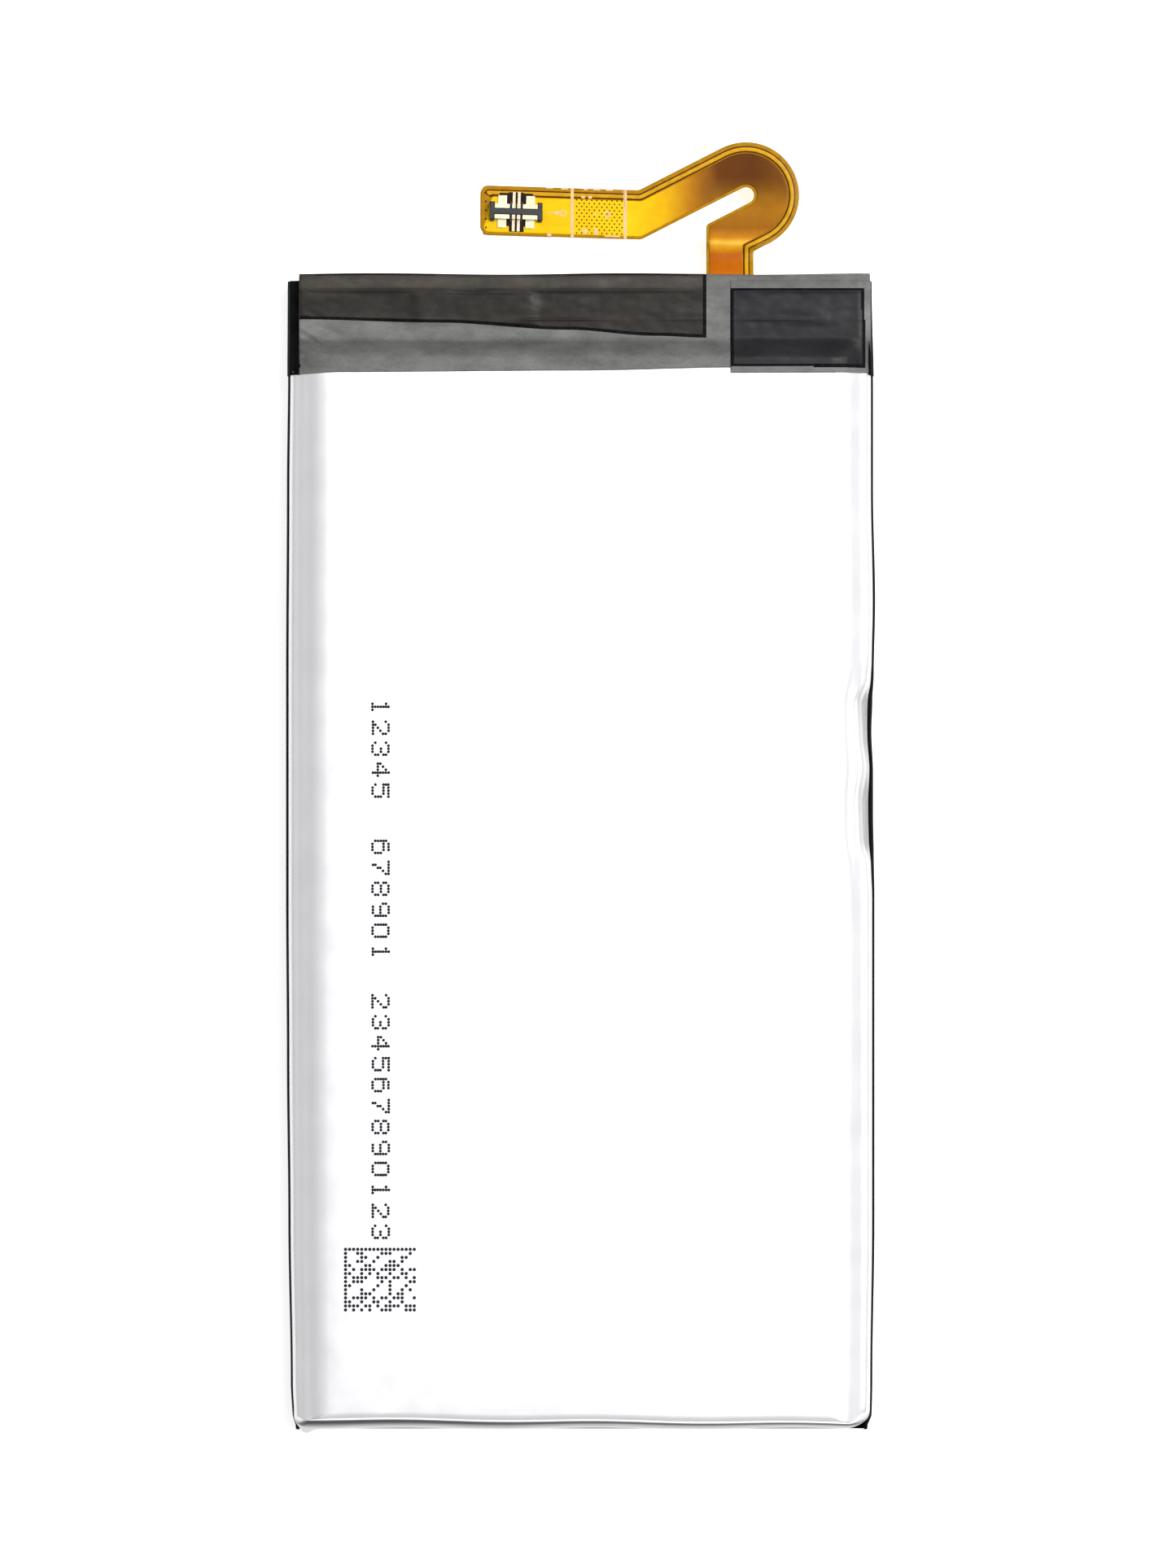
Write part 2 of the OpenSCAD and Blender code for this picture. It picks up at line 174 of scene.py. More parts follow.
def tidy(obj):
    """Drops loose points and makes the faces point outwards."""
    work = bmesh.new()
    work.from_mesh(obj.data)
    loose = [v for v in work.verts if not v.link_faces]
    bmesh.ops.delete(work, geom=loose, context="VERTS")
    bmesh.ops.recalc_face_normals(work, faces=work.faces)
    work.to_mesh(obj.data)
    work.free()


def add_rest_map(obj):
    """Stores each point's rest place, in millimetres, as a UV map that stays put in every pose."""
    layer = obj.data.uv_layers.new(name="rest")
    points = np.array([v.co for v in obj.data.vertices]) / MM
    loops = np.zeros(len(obj.data.loops), int)
    obj.data.loops.foreach_get("vertex_index", loops)
    layer.data.foreach_set("uv", points[loops][:, :2].astype(np.float32).ravel())


def crisp(obj, degrees=35):
    """Keeps edges sharper than this angle as edges."""
    for polygon in obj.data.polygons:
        polygon.use_smooth = True
    obj.data.set_sharp_from_angle(angle=math.radians(degrees))


def bevelled(obj, width, segments=2):
    modifier = obj.modifiers.new("bevel", "BEVEL")
    modifier.width = width * MM
    modifier.segments = segments
    modifier.limit_method = "ANGLE"
    modifier.angle_limit = math.radians(35)


# How deep a dot reaches under the surface that it stands on
DOT_ROOT = 0.03


def dots(name, centres, radius, height, material, sides=8):
    """Low domes, such as drops of ink, standing on the given points."""
    points = []
    faces = []
    angles = [2 * math.pi * i / sides for i in range(sides)]
    ring = [(math.cos(a), math.sin(a)) for a in angles]
    for x, y, z in centres:
        start = len(points)
        for scale, level in ((1.0, -DOT_ROOT), (0.96, height * 0.55), (0.6, height)):
            points += [(x + radius * scale * c, y + radius * scale * s, z + level) for c, s in ring]
        for level in range(2):
            first = start + level * sides
            for i in range(sides):
                a, b = first + i, first + (i + 1) % sides
                faces.append((a, b, b + sides, a + sides))
        faces.append(tuple(start + 2 * sides + i for i in range(sides)))
        faces.append(tuple(start + i for i in reversed(range(sides))))
    return new_mesh(name, points, faces, material)


# ---------------- materials


class Paint:
    """A Principled material whose nodes work in millimetres."""

    def __init__(self, name, colour, roughness, metallic=0.0, rest_map=False, **constants):
        self.material = bpy.data.materials.new(name)
        self.material.use_nodes = True
        self.tree = self.material.node_tree
        self.shader = self.tree.nodes["Principled BSDF"]
        self.shader.inputs["Base Color"].default_value = (*colour, 1)
        self.shader.inputs["Roughness"].default_value = roughness
        self.shader.inputs["Metallic"].default_value = metallic
        for socket, value in constants.items():
            self.shader.inputs[socket.replace("_", " ")].default_value = value
        self.colour = colour
        self.height = None
        self.place = self.node("ShaderNodeMapping")
        if rest_map:
            source = self.node("ShaderNodeUVMap")
            source.uv_map = "rest"
            self.link(source.outputs["UV"], self.place.inputs["Vector"])
        else:
            source = self.node("ShaderNodeTexCoord")
            self.link(source.outputs["Object"], self.place.inputs["Vector"])
            self.place.inputs["Scale"].default_value = (1 / MM, 1 / MM, 1 / MM)

    def node(self, kind):
        return self.tree.nodes.new(kind)

    def link(self, source, target):
        self.tree.links.new(source, target)

    def noise(self, size, detail=3.0, stretch=(1, 1, 1), rough=0.55):
        """Noise with features of about size millimetres."""
        spread = self.node("ShaderNodeMapping")
        spread.inputs["Scale"].default_value = stretch
        texture = self.node("ShaderNodeTexNoise")
        texture.inputs["Scale"].default_value = 1 / size
        texture.inputs["Detail"].default_value = detail
        texture.inputs["Roughness"].default_value = rough
        self.link(self.place.outputs["Vector"], spread.inputs["Vector"])
        self.link(spread.outputs["Vector"], texture.inputs["Vector"])
        return texture.outputs["Fac"]

    def ramp(self, source, stops):
        """Colours along a value: stops are (place, colour)."""
        ramp = self.node("ShaderNodeValToRGB")
        elements = ramp.color_ramp.elements
        while len(elements) < len(stops):
            elements.new(0.5)
        for element, (place, colour) in zip(elements, stops):
            element.position = place
            element.color = (*colour, 1)
        self.link(source, ramp.inputs["Fac"])
        return ramp.outputs["Color"]

    def mottle(self, size, amount, detail=4.0, stretch=(1, 1, 1)):
        """Makes the base colour lighter and darker in patches."""
        low = tuple(c * (1 - amount) for c in self.colour)
        high = tuple(min(1, c * (1 + amount)) for c in self.colour)
        colour = self.ramp(self.noise(size, detail, stretch), [(0.32, low), (0.68, high)])
        self.link(colour, self.shader.inputs["Base Color"])
        return self

    def multiply(self, first, second, share):
        mix = self.node("ShaderNodeMix")
        mix.data_type = "RGBA"
        mix.blend_type = "MULTIPLY"
        mix.inputs["Factor"].default_value = share
        self.link(first, mix.inputs["A"])
        self.link(second, mix.inputs["B"])
        return mix.outputs["Result"]

    def map_range(self, value, low, high, to_low=0.0, to_high=1.0):
        """The value, taken from the range low to high to another one."""
        change = self.node("ShaderNodeMapRange")
        change.inputs["From Min"].default_value = low
        change.inputs["From Max"].default_value = high
        change.inputs["To Min"].default_value = to_low
        change.inputs["To Max"].default_value = to_high
        self.link(value, change.inputs["Value"])
        return change.outputs["Result"]

    def along(self, axis, low, high):
        """A value that runs from 0 to 1 between two places on an axis."""
        split = self.node("ShaderNodeSeparateXYZ")
        self.link(self.place.outputs["Vector"], split.inputs["Vector"])
        return self.map_range(split.outputs[axis], low, high)

    def vary_roughness(self, size, low, high, stretch=(1, 1, 1)):
        level = self.map_range(self.noise(size, 4.0, stretch), 0.3, 0.7, low, high)
        self.link(level, self.shader.inputs["Roughness"])
        return self

    def grain(self, size, depth, detail=3.0, stretch=(1, 1, 1)):
        """Adds a bump of depth millimetres; calls stack."""
        node = self.node("ShaderNodeBump")
        node.inputs["Strength"].default_value = 1.0
        node.inputs["Distance"].default_value = depth * MM
        self.link(self.noise(size, detail, stretch), node.inputs["Height"])
        if self.height is not None:
            self.link(self.height, node.inputs["Normal"])
        self.height = node.outputs["Normal"]
        self.link(self.height, self.shader.inputs["Normal"])
        return self


def grey(level):
    return (level, level, level)


def laminate_material():
    """Pale foil laminate with painted shade by height: darker down the wall, and darkest in the fold under
    the shoulder, where a painted shadow lies.
    """
    paint = Paint("laminate", (0.93, 0.94, 0.95), 0.4, 0.5, Specular_IOR_Level=0.4)
    # painted shade by height: the wall darker than the face, and a painted shadow in the fold at z 3.36 to
    # 3.58
    tones = [
        (0.2, 0.5), (2.9, 0.52), (3.2, 0.42), (3.36, 0.12), (3.58, 0.13), (3.76, 0.5), (4.2, 0.76),
        (4.45, 0.94),
    ]
    stops = [(z / FACE_Z, (v, v * 0.99, v * 1.01)) for z, v in tones]
    shade = paint.ramp(paint.along("Z", 0.0, FACE_Z), stops)
    clouds = paint.ramp(paint.noise(6.0, 5.0), [(0.32, grey(0.985)), (0.68, grey(1))])
    paint.link(paint.multiply(shade, clouds, 1.0), paint.shader.inputs["Base Color"])
    paint.vary_roughness(2.5, 0.36, 0.44)
    paint.grain(0.35, 0.0018).grain(5.0, 0.012, 2.0)
    return paint.material


def film_material(name, colour, amount, size, roughness, bands=None):
    """Semi-clear insulating film: mottled where it clings or lifts, with fine streaks. bands are (Y, share)
    pairs: how light the film is along the cell, where it clings to what is under it and where painted shade
    darkens it down the step."""
    paint = Paint(name, colour, roughness, Specular_IOR_Level=0.16, Coat_Weight=0.03, Coat_Roughness=0.3)
    low = tuple(c * (1 - amount) for c in colour)
    high = tuple(min(1, c * (1 + amount)) for c in colour)
    patches = paint.ramp(paint.noise(size, 6.0, (0.55, 1.0, 1.0), 0.62), [(0.3, low), (0.7, high)])
    streaks = paint.ramp(paint.noise(0.5, 3.0, (0.12, 1.0, 1.0)), [(0.3, grey(0.72)), (0.62, grey(1))])
    speckle = paint.ramp(paint.noise(0.12, 2.0), [(0.32, grey(0.7)), (0.55, grey(1))])
    mixed = paint.multiply(paint.multiply(patches, streaks, 0.3), speckle, 0.45)
    if bands:
        # painted shade along the cell from the bands, darkest down the step
        first, last = bands[0][0], bands[-1][0]
        stops = [((y - first) / (last - first), grey(share)) for y, share in bands]
        mixed = paint.multiply(mixed, paint.ramp(paint.along("Y", first, last), stops), 1.0)
    paint.link(mixed, paint.shader.inputs["Base Color"])
    paint.vary_roughness(0.8, roughness - 0.1, roughness + 0.12)
    paint.grain(0.3, 0.006).grain(1.6, 0.03, 3.0, (0.4, 1.0, 1.0))
    return paint.material


def black_film_material():
    paint = Paint("black_film", (0.0055, 0.0058, 0.006), 0.6, IOR=1.12, Specular_IOR_Level=0.08)
    paint.mottle(1.5, 0.3)
    paint.vary_roughness(3.0, 0.5, 0.68)
    paint.grain(0.25, 0.003).grain(9.0, 0.05, 3.0)
    return paint.material


def simple_material(
    name, colour, roughness, metallic=0.0, size=0.5, amount=0.12, depth=0.004, stretch=(1, 1, 1),
    specular=0.5,
):
    paint = Paint(name, colour, roughness, metallic, Specular_IOR_Level=specular)
    paint.mottle(size, amount, 4.0, stretch)
    paint.vary_roughness(size * 1.7, max(0.05, roughness - 0.07), roughness + 0.09, stretch)
    paint.grain(size * 0.4, depth, 3.0, stretch)
    return paint.material


def ink_material():
    paint = Paint("ink", (0.012, 0.017, 0.024), 0.6, Specular_IOR_Level=0.15)
    paint.mottle(0.15, 0.5)
    return paint.material


FLEX_COAT = {"Coat_Weight": 0.05, "Coat_Roughness": 0.1}


def flex_fill_material():
    """Copper under the amber cover film. Its tone runs along the tail as painted reflection, from orange at
    the neck through brown on the turn to yellow on the arm, with a painted highlight across the crease."""
    look = {"Specular_IOR_Level": 0.08, **FLEX_COAT}
    paint = Paint("copper_under_film", (0.9, 0.6, 0.02), 0.34, 0.0, True, **look)
    # painted reflection along the arm: yellow where the flat arm catches the light, dark brown on the turn
    arm = paint.ramp(
        paint.along("X", -7.0, 16.0),
        [
            (0.0, (0.95, 0.58, 0.002)), (0.46, (0.98, 0.64, 0.002)), (0.56, (0.90, 0.50, 0.002)),
            (0.65, (0.50, 0.19, 0.002)), (0.73, (0.15, 0.042, 0.001)), (0.84, (0.125, 0.034, 0.001)),
            (0.93, (0.19, 0.062, 0.001)), (1.0, (0.36, 0.14, 0.001)),
        ],
    )
    # painted shade along the neck, with a painted highlight across the crease at stops 0.25 to 0.33
    neck = paint.ramp(
        paint.along("Y", 41.0, 51.0),
        [
            (0.0, (0.62, 0.20, 0.012)), (0.1, (0.56, 0.14, 0.003)), (0.21, (0.50, 0.12, 0.002)),
            (0.25, (0.80, 0.36, 0.015)), (0.29, (0.95, 0.55, 0.06)), (0.33, (0.60, 0.22, 0.004)),
            (0.40, (0.36, 0.13, 0.003)), (0.52, (0.42, 0.17, 0.003)), (0.66, (0.28, 0.11, 0.003)),
            (0.85, (0.17, 0.055, 0.002)),
        ],
    )
    # the neck's painted shade and highlight hold right of the slot and below the turn
    both = paint.node("ShaderNodeMath")
    both.operation = "MULTIPLY"
    paint.link(paint.along("X", 8.0, 9.6), both.inputs[0])
    paint.link(paint.along("Y", 48.6, 47.2), both.inputs[1])
    mix = paint.node("ShaderNodeMix")
    mix.data_type = "RGBA"
    paint.link(both.outputs["Value"], mix.inputs["Factor"])
    paint.link(arm, mix.inputs["A"])
    paint.link(neck, mix.inputs["B"])
    patches = paint.ramp(paint.noise(0.9, 5.0), [(0.35, (0.84, 0.80, 0.7)), (0.65, (1, 1, 1))])
    speckle = paint.ramp(paint.noise(0.1, 2.0), [(0.3, (0.85, 0.8, 0.7)), (0.6, (1, 1, 1))])
    mixed = paint.multiply(paint.multiply(mix.outputs["Result"], patches, 0.6), speckle, 0.5)
    paint.link(mixed, paint.shader.inputs["Base Color"])
    paint.grain(0.6, 0.004).grain(0.12, 0.001)
    return paint.material


def flex_material(name, colour, roughness=0.25, metallic=0.0):
    paint = Paint(name, colour, roughness, metallic, True, Specular_IOR_Level=0.1, **FLEX_COAT)
    paint.mottle(0.5, 0.16)
    paint.grain(0.3, 0.003)
    return paint.material


def floor_material():
    glow = {"Emission_Color": (1, 1, 1, 1), "Emission_Strength": 0.72}
    paint = Paint("floor", (0.93, 0.93, 0.93), 0.9, **glow)
    paint.mottle(40.0, 0.004)
    return paint.material


LAMINATE = laminate_material()
# painted shade along the grey film: darkest at Y 36.3 to 36.7, where it goes down the step
GREY_SHADE_BANDS = [
    (34.3, 0.95), (35.4, 0.78), (36.3, 0.55), (36.7, 0.5), (37.2, 0.85), (38.2, 0.9), (41.6, 0.72),
]
GREY_FILM = film_material("grey_film", (0.205, 0.205, 0.201), 0.26, 1.2, 0.5, GREY_SHADE_BANDS)
DARK_BANDS = [(36.5, 0.42), (40.45, 0.42), (40.75, 0.95), (41.15, 1.0), (41.6, 0.6)]
DARK_FILM = film_material("dark_film", (0.058, 0.050, 0.043), 0.34, 1.4, 0.46, DARK_BANDS)
CORNER_FILM = film_material("corner_dark_film", (0.019, 0.018, 0.0205), 0.3, 1.8, 0.46)
BLACK_FILM = black_film_material()
# painted shadow: a near-black line along the edges of films that lie on others
FILM_EDGE_SHADOW = simple_material("film_edge_shadow", grey(0.006), 0.6, size=0.3, amount=0.5, specular=0.04)
INK = ink_material()
FILL = flex_fill_material()
FLEX_EDGE = flex_material("amber_film", (0.42, 0.20, 0.004))
FLEX_GAP = flex_material("bare_amber_film", (0.085, 0.022, 0.001))
TRACE = flex_material("copper_trace", (0.66, 0.34, 0.008), 0.3)
SILK = simple_material("silk_ink", (0.84, 0.56, 0.30), 0.6, size=0.2, amount=0.14, specular=0.2)
# painted shadow: dark plates in the gaps round the connector
OPENING_SHADOW = simple_material("opening_shadow", (0.016, 0.006, 0.005), 0.5, size=0.2, amount=0.4, specular=0.1)

# ---------------- pouch

left_bow = smooth_line([
    (-41, -0.55), (-40, -0.34), (-37.6, -0.23), (-26, -0.05), (-14.4, 0.05), (-3, 0.11),
    (13, 0.11), (26, 0.05), (35, -0.04), (41, -0.06),
])
right_bow = smooth_line([
    (-41, -0.42), (-40, -0.14), (-37.6, -0.1), (-26, 0.05), (-2.7, 0.05), (0.2, 0), (3, -0.05),
    (6, -0.05), (8.9, -0.17), (11.2, -0.1), (13, 0), (18.2, 0.1), (26.3, -0.05), (33.3, -0.05), (41, -0.2),
])
# How far the folded seal on the right leans in over the cell, where it has been knocked
right_lean = smooth_line([
    (-3, 0), (-0.6, 0.12), (1.2, 0.5), (3.9, 0.55), (6.4, 0.28), (8.6, 0.42), (10.9, 0.55),
    (12.7, 0.12), (14, 0),
])

# The pouch's section, from the foot of its wall to the middle of its face. Each row is
# distance in from the outline and height, at a long side and at the folded bottom end.
SECTION = [
    (0.52, 0.27, 0.75, 0.27), (0.24, 0.32, 0.40, 0.38), (0.15, 0.8, 0.18, 0.9), (0.12, 1.6, 0.07, 1.5),
    (0.13, 2.5, 0.05, 2.1), (0.18, 3.3, 0.10, 2.6), (0.25, 3.82, 0.19, 2.95), (0.29, 4.02, 0.30, 3.14),
    (0.34, 4.16, 0.40, 3.24), (0.43, 4.30, 0.47, 3.34), (0.56, 4.40, 0.56, 3.40), (0.70, 4.46, 0.64, 3.60),
    (0.82, 4.50, 0.68, 4.10), (0.92, 4.54, 0.71, 4.50), (1.04, 4.60, 0.74, 4.86), (1.22, 4.71, 0.79, 5.12),
    (1.50, 4.93, 0.86, 5.30), (1.90, 5.19, 0.96, 5.375), (2.40, 5.34, 1.30, 5.395), (3.00, 5.39, 2.2, 5.40),
    (3.80, 5.40, 3.3, 5.40), (5.5, 5.40, 5.0, 5.40), (8.0, 5.40, 8.0, 5.40), (11.0, 5.40, 11.0, 5.40),
    (14.0, 5.40, 14.0, 5.40), (17.0, 5.40, 17.0, 5.40), (19.6, 5.40, 19.6, 5.40),
]
LEAN_SHARE = smooth_line([(2.8, 0), (3.5, 0.12), (4.25, 1), (4.7, 1), (5.3, 0)])
# How much nearer the edge the bottom fold lies, for each millimetre to the right
FOLD_FALL = 0.008
# Creases in the right-hand shoulder: two ends and a depth
CREASES = [
    ((20.3, 13.7), (18.9, 12.2), 0.06), ((20.1, 12.9), (18.6, 11.6), 0.05),
    ((20.0, 11.8), (19.4, 10.6), 0.05), ((19.9, 33.8), (19.5, 25.0), 0.05),
    ((20.0, 33.9), (20.3, 33.2), 0.06), ((-20.2, 30.4), (-19.0, 29.6), 0.02),
    ((19.2, -18.4), (19.9, -21.5), 0.05), ((-19.5, -38.6), (-18.2, -39.3), 0.05),
    ((18.3, -38.2), (19.6, -39.6), 0.06), ((-13.6, -40.0), (-14.6, -40.3), 0.08),
]


def side_height(edge):
    """Height of the cell's shoulder at a distance in from its long side."""
    rows = [row for row in SECTION if row[1] > 3.9]
    return np.interp(edge, [row[0] for row in rows], [row[1] for row in rows])


def crease_depth(x, y):
    """Depth of the small creases at a place on the pouch."""
    total = np.zeros(np.broadcast(x, y).shape)
    for (ax, ay), (bx, by), depth in CREASES:
        dx, dy = bx - ax, by - ay
        t = np.clip(((x - ax) * dx + (y - ay) * dy) / (dx * dx + dy * dy), 0, 1)
        gap = np.hypot(x - ax - t * dx, y - ay - t * dy)
        groove = bump(gap, 0, 0.13) - 0.55 * bump(gap, 0.3, 0.15)
        total = total + depth * groove * (0.4 + 0.6 * np.sin(np.pi * t))
    return total


def face_relief(x, y):
    """Slow waves in the face, and the creases."""
    waves = 0.022 * wobble(x, y, 13, 19, 1) + 0.012 * wobble(x, y, 5, 9, 2)
    return waves - crease_depth(x, y)


def outline_points(radius_left, radius_right, half, low, high):
    """A rounded rectangle, anticlockwise from the lower left, and for each point how much it
    belongs to an end rather than to a long side."""
    side_count, end_count, turn_count = 230, 120, 12
    points = []
    ends = []

    def turn(cx, cy, r, start, from_end):
        for i in range(1, turn_count):
            t = i / turn_count
            angle = math.radians(start + 90 * t)
            points.append((cx + r * math.cos(angle), cy + r * math.sin(angle)))
            ends.append(1 - t if from_end else t)

    def line(a, b, count, share):
        for i in range(count + 1):
            t = i / count
            points.append((a[0] + (b[0] - a[0]) * t, a[1] + (b[1] - a[1]) * t))
            ends.append(share)

    left, right = radius_left, radius_right
    line((-half + left, low), (half - right, low), end_count, 1)
    turn(half - right, low + right, right, -90, True)
    line((half, low + right), (half, high - right), side_count, 0)
    turn(half - right, high - right, right, 0, False)
    line((half - right, high), (-half + left, high), end_count, 1)
    turn(-half + left, high - left, left, 90, True)
    line((-half, high - left), (-half, low + left), side_count, 0)
    turn(-half + left, low + left, left, 180, False)
    return np.array(points), np.array(ends)


def section_ring(side_in, side_z, end_in, end_z):
    """One ring of the pouch, at a row of its section."""
    half = HALF_W - side_in
    low = BOTTOM_Y + end_in
    high = CUP_TOP_Y - end_in
    left_r, right_r = max(1.15 - side_in, 0.12), max(1.7 - side_in, 0.12)
    plan, ends = outline_points(left_r, right_r, half, low, high)
    x, y = plan[:, 0].copy(), plan[:, 1].copy()
    z = np.minimum(side_z + (end_z - side_z) * ease(ends), side_height(HALF_W - np.abs(x)))
    near = np.exp(-side_in / 2.5) * ease(np.abs(x) / 6)
    x += np.where(x > 0, right_bow(y), -left_bow(y)) * near
    lean = np.where(x > 0, right_lean(y), 0) * (1 - ends) * LEAN_SHARE(side_z) * (side_in < 3)
    x -= lean
    z -= 0.35 * lean * (side_z > 4) * (side_in < 1)
    # the folded end of the left seal sticks out as a small ear
    ear = bump(x, -19.75, 0.55) * (y < BOTTOM_Y + 2)
    y -= 0.42 * ear * ease((3.9 - side_z) / 2) * ease((side_z - 0.3) / 0.8)
    # the fold in the bottom edge falls to the right
    y -= (y < BOTTOM_Y + 2) * FOLD_FALL * x * ease((side_in - 0.2) / 0.3) * (side_in < 3) * ends
    # the folded bottom edge wanders a little
    y += (y < BOTTOM_Y + 2) * 0.06 * np.sin(x * 0.45 + 1) * ease(end_z / 3) * (side_in < 3)
    if side_in > 0.9:
        z = z + face_relief(x, y) * ease((side_in - 0.9) / 1.2)
    # under the films it lies a little lower
    z = z - 0.16 * ease((y - CUP_TOP_Y + 1.4) / 0.4) * ease((z - 3.5) / 0.5)
    return np.stack([x, y, z], 1)


def make_pouch_shell():
    rings = [section_ring(*row) for row in SECTION]
    count = len(rings[0])
    faces = grid_faces(len(rings), count, wrap=True)
    last = (len(rings) - 1) * count
    faces.append(tuple(last + i for i in range(count)))
    obj = new_mesh("pouch_shell", np.concatenate(rings), faces, LAMINATE)
    shell = obj.modifiers.new("laminate", "SOLIDIFY")
    shell.thickness = 0.1 * MM
    shell.offset = -1
    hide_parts("pouch_cup")
    return obj


def make_pouch_back():
    """The flat half of the laminate, with the open terrace under the board."""
    rows = np.linspace(BOTTOM_Y + 0.5, TOP_Y, 170)
    columns = np.linspace(-1, 1, 90)
    half = HALF_W - 0.45
    x = columns[None, :] * (half + 0 * rows[:, None])
    bow = np.where(x > 0, right_bow(rows)[:, None], -left_bow(rows)[:, None])
    x = x + bow * np.abs(columns[None, :]) ** 3
    y = np.repeat(rows[:, None], len(columns), 1)
    z = 0.23 + 0.006 * wobble(x, y, 7, 7, 3)
    obj = slab("pouch_back", np.stack([x, y, z], 2), 0.13, LAMINATE)
    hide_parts("pouch_cover")
    return obj


def make_terrace():
    """The sealed lip in front of the drawn cup, raised where the two tabs pass through."""
    rows = np.linspace(CUP_TOP_Y - 0.6, TOP_Y, 40)
    columns = np.linspace(-HALF_W + 0.6, HALF_W - 0.6, 200)
    x, y = np.meshgrid(columns, rows)
    z = 0.42 + 0.01 * wobble(x, y, 1.2, 4, 4)
    for node in ("positive_tab", "negative_tab"):
        low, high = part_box(node)
        centre = (low.x + high.x) / 2 / MM
        z = z + 0.3 * ease((3.6 - np.abs(x - centre)) / 0.6)
    return slab("terrace_seal", np.stack([x, y, z], 2), 0.13, LAMINATE)


# ---------------- label


def make_label():
    """Black film over the back, turned up along both folded seals."""
    rows = np.linspace(BOTTOM_Y - 0.1, CUP_TOP_Y + 4.55, 240)
    wing = [
        (0.24, 3.68), (0.15, 3.5), (0.07, 3.15), (0.02, 2.5), (0, 1.6), (0, 0.8), (0.03, 0.35),
        (0.12, 0.13), (0.3, 0.03),
    ]
    base_count = 60
    grid = []
    for y in rows:
        height = 0.3 + 0.7 * ease((y - BOTTOM_Y) / 1.6)
        left = -HALF_W - left_bow(y)
        right = HALF_W + right_bow(y)
        lean = right_lean(y)
        row = [(left + d, y, max(z * height, 0.0)) for d, z in wing]
        row += [(x, y, 0.0) for x in np.linspace(left + 0.6, right - 0.6, base_count)]
        row += [(right - d - lean * LEAN_SHARE(z), y, max(z * height, 0.0)) for d, z in reversed(wing)]
        grid.append(row)
    grid = np.array(grid)
    obj = new_mesh("back_wrap", grid.reshape(-1, 3), grid_faces(*grid.shape[:2]), BLACK_FILM)
    shell = obj.modifiers.new("thickness", "SOLIDIFY")
    shell.thickness = 0.07 * MM
    shell.offset = 1
    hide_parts("back_label")
    return obj


# ---------------- films


STEP = (CUP_TOP_Y - 0.95, CUP_TOP_Y + 0.75)


def film_height(x, y):
    """Where a film lies on the cell: on the face, down the step, and over the parts on the board."""
    edge = np.where(x > 0, HALF_W + right_bow(y) - x, HALF_W + left_bow(y) + x)
    face = side_height(edge) + face_relief(x, y) * ease((edge - 0.9) / 1.2)
    bay = BAY_Z - 0.28 * (1 - ease(edge / 1.1)) - 0.05 * ease((y - TOP_Y + 0.6) / 0.8)
    for node, rise in (("protection_mosfets", 0.10), ("protection_ic", 0.03), ("chip_fuse", 0.03)):
        low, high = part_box(node)
        inside = ease((x - low.x / MM + 0.7) / 0.9) * ease((high.x / MM + 0.7 - x) / 0.9)
        inside = inside * ease((y - low.y / MM + 0.3) / 0.4) * ease((high.y / MM + 0.3 - y) / 0.4)
        bay = bay + rise * inside
    ridges = 0.07 * bump(y, 40.4, 0.12) * ease(wobble(x, 0 * y, 6, 1, 8) + 0.6)
    ridges = ridges + 0.08 * bump(y, 38.35, 0.10) * ease(wobble(x, 0 * y, 5, 1, 9) + 0.5)
    bay = bay + ridges
    drop = ease((y - STEP[0]) / (STEP[1] - STEP[0]))
    z = face + (bay - face) * drop
    wrinkles = 0.045 * wobble(x, y, 2.6, 0.8, 5) + 0.02 * wobble(x, y, 0.9, 0.5, 6)
    folds = 0.24 * wobble(x + 1.6 * y, y, 0.8, 1.4, 7) * bump(x, -19.0, 1.3) * bump(y, 36.6, 1.5)
    return z + (wrinkles + folds) * (0.25 + 0.75 * ease((y - STEP[0] + 0.3) / 1.0))


def film_grid(x_range, low_edge, offset, columns, turn=None):
    """A film's upper face. low_edge gives its lower edge at each x. turn says how far it goes on
    past the board's end: None stops short, a number goes that far down, "back" goes right under."""
    xs = np.linspace(x_range[0], x_range[1], columns)
    grid = []
    # the rounded edge where the film turns down, and the one where it turns under
    corner = 0.34
    foot_r, foot_z = 0.28, 0.34
    for x in xs:
        end_y = TOP_Y + 0.12
        if turn is not None:
            end_y = FILM_END_Y - corner + 0.05 * math.sin(x * 0.35 + 0.4)
        ys = np.linspace(low_edge(x), end_y, 74)
        column = np.stack([np.full(74, x), ys, film_height(np.full(74, x), ys) + offset], 1)
        if turn is not None:
            top = column[-1, 2]
            centre = (end_y, top - corner)
            arc = [
                (x, centre[0] + corner * math.sin(a), centre[1] + corner * math.cos(a))
                for a in np.radians(np.linspace(12, 90, 8))
            ]
            column = np.concatenate([column, arc])
            wall_y = centre[0] + corner
            if turn == "back":
                wall = [(x, wall_y, z) for z in np.linspace(centre[1] - 0.3, foot_z, 26)]
                foot = [
                    (x, wall_y - foot_r + foot_r * math.cos(a), foot_z - foot_r * math.sin(a))
                    for a in np.radians([20, 45, 70, 90])
                ]
                flap = [(x, y, 0.06) for y in np.linspace(wall_y - 0.6, CUP_TOP_Y + 0.9, 14)]
                column = np.concatenate([column, wall, foot, flap])
            else:
                wall = [(x, wall_y, z) for z in np.linspace(centre[1] - 0.1, centre[1] - turn, 5)]
                column = np.concatenate([column, wall])
        grid.append(column)
    return np.array(grid).transpose(1, 0, 2)


# Width of the painted shadow line round a film that lies on another
EDGE_SHADOW_WIDTH = 0.22


